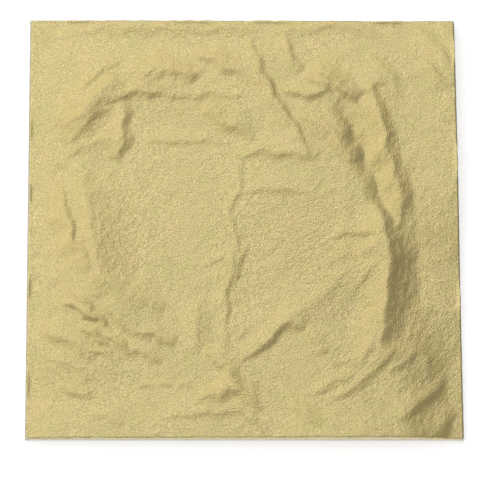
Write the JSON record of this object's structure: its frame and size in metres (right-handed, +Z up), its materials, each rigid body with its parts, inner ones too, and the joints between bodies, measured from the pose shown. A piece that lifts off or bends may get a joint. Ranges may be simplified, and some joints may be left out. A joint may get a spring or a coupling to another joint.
{
  "type": "gold leaf booklet",
  "caption": "Square booklet of thin imitation gold leaves, each on a tissue page, glued along one edge between two cards and opened at its first creased leaf.",
  "frame": {"origin": "middle of the underside of the booklet as it lies folded back on a table", "axes": "+X from the spine to the fore edge, +Y along the spine towards the head, +Z up, out of the face of the top leaf"},
  "size_m": [0.1402, 0.14, 0.0057],
  "materials": {
    "imitation_gold_leaf": "satin, finely creased, brushed by the beating",
    "tissue_paper": "matt, translucent",
    "cover_card": "matt, uncoated",
    "binding_paper": "matt, finely ribbed",
    "padding_glue": "dried film, slightly glossy"
  },
  "bodies": {
    "block": {"back_card": "cover_card", "spine_strip": "binding_paper", "spine_glue": "padding_glue"},
    "front_flap": {"front_card": "cover_card", "flyleaf": "tissue_paper"},
    "page_01": {"tissue_01": "tissue_paper"},
    "page_02": {"tissue_02": "tissue_paper", "leaf_02": "imitation_gold_leaf"},
    "page_03": {"tissue_03": "tissue_paper", "leaf_03": "imitation_gold_leaf"},
    "page_04": {"tissue_04": "tissue_paper", "leaf_04": "imitation_gold_leaf"},
    "page_05": {"tissue_05": "tissue_paper", "leaf_05": "imitation_gold_leaf"},
    "page_06": {"tissue_06": "tissue_paper", "leaf_06": "imitation_gold_leaf"},
    "page_07": {"tissue_07": "tissue_paper", "leaf_07": "imitation_gold_leaf"},
    "page_08": {"tissue_08": "tissue_paper", "leaf_08": "imitation_gold_leaf"},
    "page_09": {"tissue_09": "tissue_paper", "leaf_09": "imitation_gold_leaf"},
    "page_10": {"tissue_10": "tissue_paper", "leaf_10": "imitation_gold_leaf"},
    "page_11": {"tissue_11": "tissue_paper", "leaf_11": "imitation_gold_leaf"},
    "page_12": {"tissue_12": "tissue_paper", "leaf_12": "imitation_gold_leaf"},
    "page_13": {"tissue_13": "tissue_paper", "leaf_13": "imitation_gold_leaf"},
    "page_14": {"tissue_14": "tissue_paper", "leaf_14": "imitation_gold_leaf"},
    "page_15": {"tissue_15": "tissue_paper", "leaf_15": "imitation_gold_leaf"},
    "page_16": {"tissue_16": "tissue_paper", "leaf_16": "imitation_gold_leaf"},
    "page_17": {"tissue_17": "tissue_paper", "leaf_17": "imitation_gold_leaf"},
    "page_18": {"tissue_18": "tissue_paper", "leaf_18": "imitation_gold_leaf"},
    "page_19": {"tissue_19": "tissue_paper", "leaf_19": "imitation_gold_leaf"},
    "page_20": {"tissue_20": "tissue_paper", "leaf_20": "imitation_gold_leaf"},
    "page_21": {"tissue_21": "tissue_paper", "leaf_21": "imitation_gold_leaf"},
    "page_22": {"tissue_22": "tissue_paper", "leaf_22": "imitation_gold_leaf"},
    "page_23": {"tissue_23": "tissue_paper", "leaf_23": "imitation_gold_leaf"},
    "page_24": {"tissue_24": "tissue_paper", "leaf_24": "imitation_gold_leaf"},
    "page_25": {"tissue_25": "tissue_paper", "leaf_25": "imitation_gold_leaf"},
    "top_leaf": {"leaf_01": "imitation_gold_leaf"}
  },
  "joints": [
    {"name": "front_card_fold", "type": "hinge", "parent": "block", "child": "front_flap", "pos_m": [-0.07017, 0, 0.00014], "axis": [0, 1, 0], "range_deg": [0, 180]},
    {"name": "page_01_turn", "type": "hinge", "parent": "block", "child": "page_01", "pos_m": [-0.07017, 0, 0.00239], "axis": [0, -1, 0], "range_deg": [0, 165]},
    {"name": "page_02_turn", "type": "hinge", "parent": "block", "child": "page_02", "pos_m": [-0.07017, 0, 0.00239], "axis": [0, -1, 0], "range_deg": [0, 158.4]},
    {"name": "page_03_turn", "type": "hinge", "parent": "block", "child": "page_03", "pos_m": [-0.07017, 0, 0.00239], "axis": [0, -1, 0], "range_deg": [0, 151.8]},
    {"name": "page_04_turn", "type": "hinge", "parent": "block", "child": "page_04", "pos_m": [-0.07017, 0, 0.00239], "axis": [0, -1, 0], "range_deg": [0, 145.2]},
    {"name": "page_05_turn", "type": "hinge", "parent": "block", "child": "page_05", "pos_m": [-0.07017, 0, 0.00239], "axis": [0, -1, 0], "range_deg": [0, 138.6]},
    {"name": "page_06_turn", "type": "hinge", "parent": "block", "child": "page_06", "pos_m": [-0.07017, 0, 0.00239], "axis": [0, -1, 0], "range_deg": [0, 132]},
    {"name": "page_07_turn", "type": "hinge", "parent": "block", "child": "page_07", "pos_m": [-0.07017, 0, 0.00239], "axis": [0, -1, 0], "range_deg": [0, 125.4]},
    {"name": "page_08_turn", "type": "hinge", "parent": "block", "child": "page_08", "pos_m": [-0.07017, 0, 0.00239], "axis": [0, -1, 0], "range_deg": [0, 118.8]},
    {"name": "page_09_turn", "type": "hinge", "parent": "block", "child": "page_09", "pos_m": [-0.07017, 0, 0.00239], "axis": [0, -1, 0], "range_deg": [0, 112.2]},
    {"name": "page_10_turn", "type": "hinge", "parent": "block", "child": "page_10", "pos_m": [-0.07017, 0, 0.00239], "axis": [0, -1, 0], "range_deg": [0, 105.6]},
    {"name": "page_11_turn", "type": "hinge", "parent": "block", "child": "page_11", "pos_m": [-0.07017, 0, 0.00239], "axis": [0, -1, 0], "range_deg": [0, 99]},
    {"name": "page_12_turn", "type": "hinge", "parent": "block", "child": "page_12", "pos_m": [-0.07017, 0, 0.00239], "axis": [0, -1, 0], "range_deg": [0, 92.4]},
    {"name": "page_13_turn", "type": "hinge", "parent": "block", "child": "page_13", "pos_m": [-0.07017, 0, 0.00239], "axis": [0, -1, 0], "range_deg": [0, 85.8]},
    {"name": "page_14_turn", "type": "hinge", "parent": "block", "child": "page_14", "pos_m": [-0.07017, 0, 0.00239], "axis": [0, -1, 0], "range_deg": [0, 79.2]},
    {"name": "page_15_turn", "type": "hinge", "parent": "block", "child": "page_15", "pos_m": [-0.07017, 0, 0.00239], "axis": [0, -1, 0], "range_deg": [0, 72.6]},
    {"name": "page_16_turn", "type": "hinge", "parent": "block", "child": "page_16", "pos_m": [-0.07017, 0, 0.00239], "axis": [0, -1, 0], "range_deg": [0, 66]},
    {"name": "page_17_turn", "type": "hinge", "parent": "block", "child": "page_17", "pos_m": [-0.07017, 0, 0.00239], "axis": [0, -1, 0], "range_deg": [0, 59.4]},
    {"name": "page_18_turn", "type": "hinge", "parent": "block", "child": "page_18", "pos_m": [-0.07017, 0, 0.00239], "axis": [0, -1, 0], "range_deg": [0, 52.8]},
    {"name": "page_19_turn", "type": "hinge", "parent": "block", "child": "page_19", "pos_m": [-0.07017, 0, 0.00239], "axis": [0, -1, 0], "range_deg": [0, 46.2]},
    {"name": "page_20_turn", "type": "hinge", "parent": "block", "child": "page_20", "pos_m": [-0.07017, 0, 0.00239], "axis": [0, -1, 0], "range_deg": [0, 39.6]},
    {"name": "page_21_turn", "type": "hinge", "parent": "block", "child": "page_21", "pos_m": [-0.07017, 0, 0.00239], "axis": [0, -1, 0], "range_deg": [0, 33]},
    {"name": "page_22_turn", "type": "hinge", "parent": "block", "child": "page_22", "pos_m": [-0.07017, 0, 0.00239], "axis": [0, -1, 0], "range_deg": [0, 26.4]},
    {"name": "page_23_turn", "type": "hinge", "parent": "block", "child": "page_23", "pos_m": [-0.07017, 0, 0.00239], "axis": [0, -1, 0], "range_deg": [0, 19.8]},
    {"name": "page_24_turn", "type": "hinge", "parent": "block", "child": "page_24", "pos_m": [-0.07017, 0, 0.00239], "axis": [0, -1, 0], "range_deg": [0, 13.2]},
    {"name": "page_25_turn", "type": "hinge", "parent": "block", "child": "page_25", "pos_m": [-0.07017, 0, 0.00239], "axis": [0, -1, 0], "range_deg": [0, 6.6]},
    {"name": "top_leaf_slide", "type": "slide", "parent": "page_01", "child": "top_leaf", "axis": [1, 0, 0], "range_m": [0, 0.14]}
  ],
  "couplings": [
    {"joint": "page_02_turn", "follows": "page_01_turn", "ratio": 0.96},
    {"joint": "page_03_turn", "follows": "page_01_turn", "ratio": 0.92},
    {"joint": "page_04_turn", "follows": "page_01_turn", "ratio": 0.88},
    {"joint": "page_05_turn", "follows": "page_01_turn", "ratio": 0.84},
    {"joint": "page_06_turn", "follows": "page_01_turn", "ratio": 0.8},
    {"joint": "page_07_turn", "follows": "page_01_turn", "ratio": 0.76},
    {"joint": "page_08_turn", "follows": "page_01_turn", "ratio": 0.72},
    {"joint": "page_09_turn", "follows": "page_01_turn", "ratio": 0.68},
    {"joint": "page_10_turn", "follows": "page_01_turn", "ratio": 0.64},
    {"joint": "page_11_turn", "follows": "page_01_turn", "ratio": 0.6},
    {"joint": "page_12_turn", "follows": "page_01_turn", "ratio": 0.56},
    {"joint": "page_13_turn", "follows": "page_01_turn", "ratio": 0.52},
    {"joint": "page_14_turn", "follows": "page_01_turn", "ratio": 0.48},
    {"joint": "page_15_turn", "follows": "page_01_turn", "ratio": 0.44},
    {"joint": "page_16_turn", "follows": "page_01_turn", "ratio": 0.4},
    {"joint": "page_17_turn", "follows": "page_01_turn", "ratio": 0.36},
    {"joint": "page_18_turn", "follows": "page_01_turn", "ratio": 0.32},
    {"joint": "page_19_turn", "follows": "page_01_turn", "ratio": 0.28},
    {"joint": "page_20_turn", "follows": "page_01_turn", "ratio": 0.24},
    {"joint": "page_21_turn", "follows": "page_01_turn", "ratio": 0.2},
    {"joint": "page_22_turn", "follows": "page_01_turn", "ratio": 0.16},
    {"joint": "page_23_turn", "follows": "page_01_turn", "ratio": 0.12},
    {"joint": "page_24_turn", "follows": "page_01_turn", "ratio": 0.08},
    {"joint": "page_25_turn", "follows": "page_01_turn", "ratio": 0.04}
  ]
}
